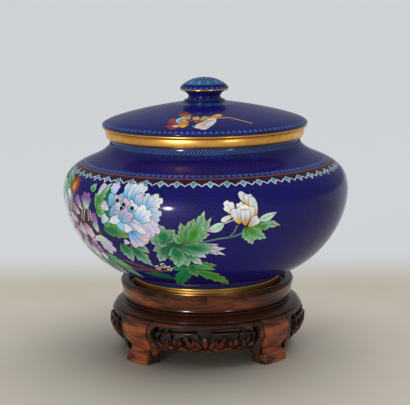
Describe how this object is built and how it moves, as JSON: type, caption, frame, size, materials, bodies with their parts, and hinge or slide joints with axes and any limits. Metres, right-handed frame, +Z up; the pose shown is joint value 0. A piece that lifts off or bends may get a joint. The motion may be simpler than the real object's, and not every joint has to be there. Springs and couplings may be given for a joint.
{
  "type": "cloisonne enamel covered bowl on a carved wooden stand",
  "caption": "Round covered bowl in deep blue cloisonne enamel with gilt rims, peonies on the belly and a knobbed lid, on a carved hardwood stand with bracket feet.",
  "frame": {"origin": "centre of the stand on the surface its feet rest on", "axes": "+Z up, -Y the front, +X the right-hand side seen from the front"},
  "size_m": [0.28, 0.28, 0.268],
  "materials": {
    "blue_enamel": "deep blue enamel over copper with fine gilt wirework, polished",
    "gilt_metal": "gilt, bright, a little worn",
    "dark_wood": "dark red-brown hardwood, waxed to a gloss",
    "red_wood": "red-brown hardwood, carved, waxed to a gloss"
  },
  "bodies": {
    "root": {"bowl_body": "blue_enamel", "mouth_collar": "gilt_metal", "foot_ring": "gilt_metal", "lid_dome": "blue_enamel", "lid_rim": "gilt_metal", "lid_knob": "blue_enamel", "stand_seat": "dark_wood", "stand_shoulder": "dark_wood", "stand_leg_1": "red_wood", "stand_apron_1": "red_wood", "stand_leg_2": "red_wood", "stand_apron_2": "red_wood", "stand_leg_3": "red_wood", "stand_apron_3": "red_wood", "stand_leg_4": "red_wood", "stand_apron_4": "red_wood"}
  },
  "joints": []
}
